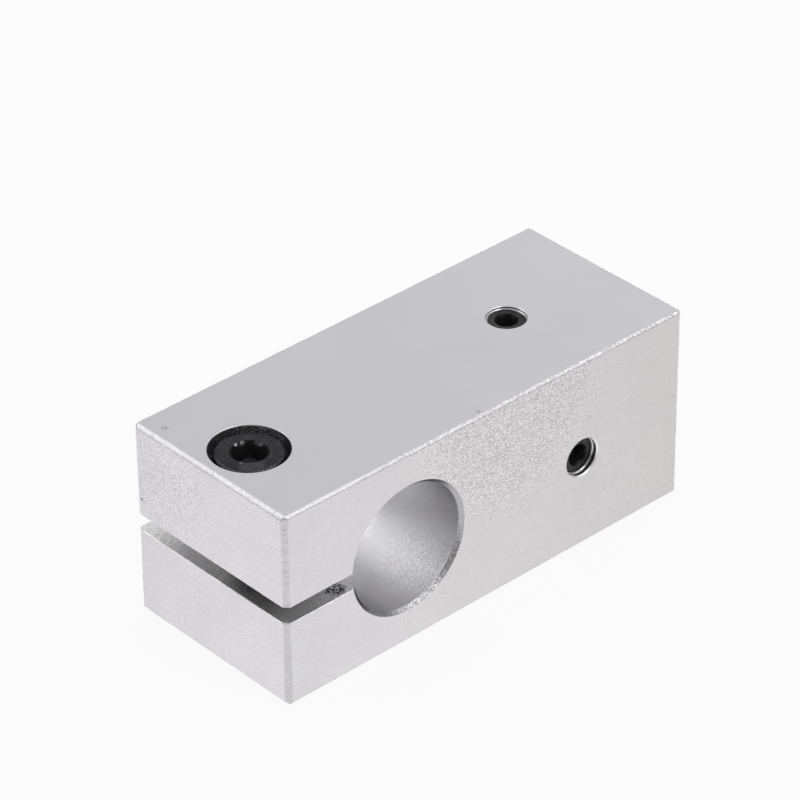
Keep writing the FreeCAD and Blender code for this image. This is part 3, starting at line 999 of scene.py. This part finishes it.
def setHoleCutters(hole, axis, face, screwEnd):
    out = blockShape["overrun"]
    start = setShape["threadStart"][hole]
    inner = threadedRod(hole + "Thread", thread["screwOuter"] + thread["gap"],
                        thread["setHoleInner"], boreRadius - 2 * out, face + out, "tappedWall", start)
    mouth = threadMouth(hole, face, screwEnd, 1)
    return [moved(tool, axis) for tool in (inner, mouth)]


def gridLines(low, high, lowEdge, highEdge, step, out):
    # lines close together at broken edges and evenly spaced between them
    lines = [low - out, low] if lowEdge else [low]
    start = low + (lowEdge or 0)
    end = high - (highEdge or 0)
    count = round((end - start) / step)
    lines += [start + (end - start) * number / count for number in range(0 if lowEdge else 1, count + 1)]
    lines += [high, high + out] if highEdge else []
    return lines


def slitCutter():
    edge = blockShape["slitEdge"]
    out = blockShape["overrun"]
    step = blockShape["slitStep"]
    xs = gridLines(blockLow.x, blockShape["slitPast"] - boreRadius, edge, None, step, out)
    ys = gridLines(blockLow.y, blockHigh.y, edge, edge, step, out)

    def halfHeight(x, y, side):
        # wider at the broken edge, which also runs around the block's own broken corner
        toEnd = x - blockLow.x
        toSide = blockHigh.y - abs(y)
        toCorner = (toEnd + toSide - blockShape["edges"][2]) / math.sqrt(2)
        lipPace = blockShape["lipPace"]
        wander = noise.noise(Vector((x * lipPace, y * lipPace, side * blockShape["lipApart"])))
        broken = edge * (1 + blockShape["lipWander"][side] * wander)
        paceX, paceY = blockShape["sawPace"]
        saw = noise.noise(Vector((x * paceX, y * paceY, side * blockShape["sawApart"])))
        widened = max(0, broken - min(toEnd, toSide, toCorner))
        return blockShape["slitHalf"] + widened + blockShape["sawDepth"] * saw

    middle = blockShape["slitMiddle"]
    points = [(x, y, middle + side * halfHeight(x, y, side)) for side in (1, -1) for x in xs for y in ys]
    across = len(ys)
    lower = len(xs) * across
    faces = []
    for row in range(len(xs) - 1):
        for column in range(across - 1):
            corner = row * across + column
            upperFace = (corner, corner + across, corner + across + 1, corner + 1)
            faces.append(upperFace)
            faces.append(tuple(lower + index for index in upperFace[::-1]))
    rim = list(range(across - 1))
    rim += [row * across + across - 1 for row in range(len(xs) - 1)]
    rim += [(len(xs) - 1) * across + column for column in range(across - 1, 0, -1)]
    rim += [row * across for row in range(len(xs) - 1, 0, -1)]
    for corner, following in neighbours(rim):
        faces.append((corner, following, lower + following, lower + corner))
    return newSolid("slit", points, faces, "sawnSlit")


# Clamp screw

headShape = {
    "radius": 4.25,
    "height": 5.0,
    "edge": 0.25,
    "topBreak": (0.04, 0.02),  # in and down, where the flat top meets that edge
    "grooves": 54,
    "grooveDepth": 0.11,
    "grooveLead": 0.1,
    "groovePower": 1.5,  # higher is narrower
    "columnsPerGroove": 6,
    "footEdge": 0.2,
    "socketFlats": 4.0,
    "socketDepth": 2.5,
    "socketTurn": 48,  # degrees
    "tipEdge": 0.6,
    "shankInHead": 0.5,
}

socketShape = {
    "lead": 0.06,
    "slopeDegrees": 50,
    "leadPast": 0.1,  # how far the lead's cone reaches inside the flats
    "leadColumns": 120,
    "drillSlopeDegrees": 30,
    "drillPast": 0.2,  # how far the drill's cutter reaches up into the hexagon
    "drillColumns": 96,
    "overrun": 0.5,
}


def socketCutters(name, top, flats, depth, turn):
    # broached hexagon with a turned lead at its mouth and a drilled cone for a floor
    out = socketShape["overrun"]
    floor = top - depth
    # the hexagon's walls take the oxide with painted light
    prism = hexPrism(name + "Hex", flats, floor, top + out, turn, "blackOxideSocket")
    slope = math.tan(math.radians(socketShape["slopeDegrees"]))
    corner = flats / math.sqrt(3) + socketShape["lead"]
    past = socketShape["leadPast"]
    foot = top - (corner - flats / 2 + past) * slope
    leadProfile = [(0, top + out), (corner + out / slope, top + out), (flats / 2 - past, foot), (0, foot)]
    # the lead's cone takes the oxide with painted shade
    lead = turnedSolid(name + "Lead", leadProfile, "blackOxideLead", socketShape["leadColumns"])
    drillSlope = math.tan(math.radians(socketShape["drillSlopeDegrees"]))
    start = floor + socketShape["drillPast"]
    drillProfile = [(0, start), (flats / 2, start), (flats / 2, floor), (0, floor - flats / 2 * drillSlope)]
    drill = turnedSolid(name + "Drill", drillProfile, "blackOxide", socketShape["drillColumns"])
    return [prism, lead, drill]


def knurledHead(low, high):
    edge = headShape["edge"]
    depth = headShape["grooveDepth"]
    radius = headShape["radius"]
    foot = headShape["footEdge"]
    columns = headShape["grooves"] * headShape["columnsPerGroove"]
    breakIn, breakDown = headShape["topBreak"]
    profile = [(0, high), (radius - edge - breakIn, high), (radius - edge, high - breakDown),
               (radius, high - edge), (radius, high - edge - headShape["grooveLead"]),
               (radius, low + 3 * foot), (radius, low + 2 * foot), (radius, low + foot),
               (radius - foot, low), (0, low)]
    grooved = {2: 1.0, 3: 1.0, 4: 1.0, 5: 0.5}  # share of the grooves' depth at these rings

    def groove(number, angle):
        wave = 0.5 + 0.5 * math.cos(angle * headShape["grooves"])
        return -depth * grooved.get(number, 0) * wave ** headShape["groovePower"]

    # the knurl takes the oxide with painted light
    return turnedSolid("clampScrew", profile, "blackOxide", columns, groove,
                       dict.fromkeys(range(1, 7), "blackOxideKnurl"))


def makeClampScrew():
    low, high = clampLow.z, clampHigh.z
    seat = high - headShape["height"]
    outer = thread["screwOuter"]
    tip = headShape["tipEdge"]
    blank = outer + thread["blankOver"]
    inHead = seat + headShape["shankInHead"]
    shankProfile = [(0, inHead), (blank, inHead), (blank, low + tip), (outer - tip, low), (0, low)]
    shank = turnedSolid("shank", shankProfile, "blackOxideThread", thread["columns"])
    past = thread["overrun"]
    rod = threadedRod("shankThread", outer, thread["screwInner"], low - past, seat + past,
                      "blackOxideThread")
    combine(shank, [rod], "INTERSECT")
    screw = combine(knurledHead(seat, high), [shank], "UNION")
    socket = socketCutters("clampSocket", high, headShape["socketFlats"], headShape["socketDepth"],
                           headShape["socketTurn"])
    combine(screw, socket, "DIFFERENCE")
    finishPiece(moved(screw, clampAxis), "clamp_screw", "clamp_screw")


# Set screws

setShape = {
    "length": 4.0,
    "lead": 0.05,
    "cupRadius": 1.25,
    "cupSlopeDegrees": 30,
    "socketFlats": 2.5,
    "socketDepth": 1.8,
    "socketTurn": {"top": 38, "side": 12},  # degrees
    "threadStart": {"top": -0.40, "side": -0.52},  # part of a turn, in the screw and in its hole
    "overrun": 0.5,
}


def makeSetScrew(name, hole, outerEnd, axis, body):
    outer = thread["screwOuter"]
    lead = setShape["lead"]
    low = outerEnd - setShape["length"]
    cup = setShape["cupRadius"]
    cupDepth = cup * math.tan(math.radians(setShape["cupSlopeDegrees"]))
    over = thread["blankOver"]
    profile = [(0, outerEnd), (outer - lead, outerEnd), (outer + over, outerEnd - lead - over),
               (outer + over, low + outer - cup), (cup, low), (0, low + cupDepth)]
    screw = turnedSolid(name, profile, "blackOxideDull", thread["columns"], strips={1: "blackOxideThread"})
    past = thread["overrun"]
    rod = threadedRod("rod", outer, thread["screwInner"], low - past, outerEnd + past,
                      "blackOxideThread", setShape["threadStart"][hole])
    plainRadius, plainLength = thread["plainEnd"]
    plainTop = outerEnd + setShape["overrun"]
    plainFoot = outerEnd - plainLength
    plainProfile = [(0, plainTop), (plainRadius, plainTop), (plainRadius, plainFoot), (0, plainFoot)]
    plain = turnedSolid("plainEnd", plainProfile, "blackOxideThread", thread["columns"])
    combine(screw, [combine(rod, [plain], "UNION")], "INTERSECT")
    socket = socketCutters(name + "Socket", outerEnd, setShape["socketFlats"], setShape["socketDepth"],
                           setShape["socketTurn"][hole])
    combine(screw, socket, "DIFFERENCE")
    finishPiece(moved(screw, axis), body, body)


def makeBlock():
    block = blockBlank()
    cutters = boreCutters() + clampHoleCutters()
    cutters += setHoleCutters("top", topAxis, blockHigh.z, topHigh.z)
    cutters += setHoleCutters("side", sideAxis, -blockLow.y, -sideLow.y)
    cutters.append(slitCutter())
    combine(block, cutters, "DIFFERENCE")
    finishPiece(block, "block", "clamp_block")


makeBlock()
makeClampScrew()
makeSetScrew("topSetScrew", "top", topHigh.z, topAxis, "top_set_screw")
makeSetScrew("sideSetScrew", "side", -sideLow.y, sideAxis, "side_set_screw")
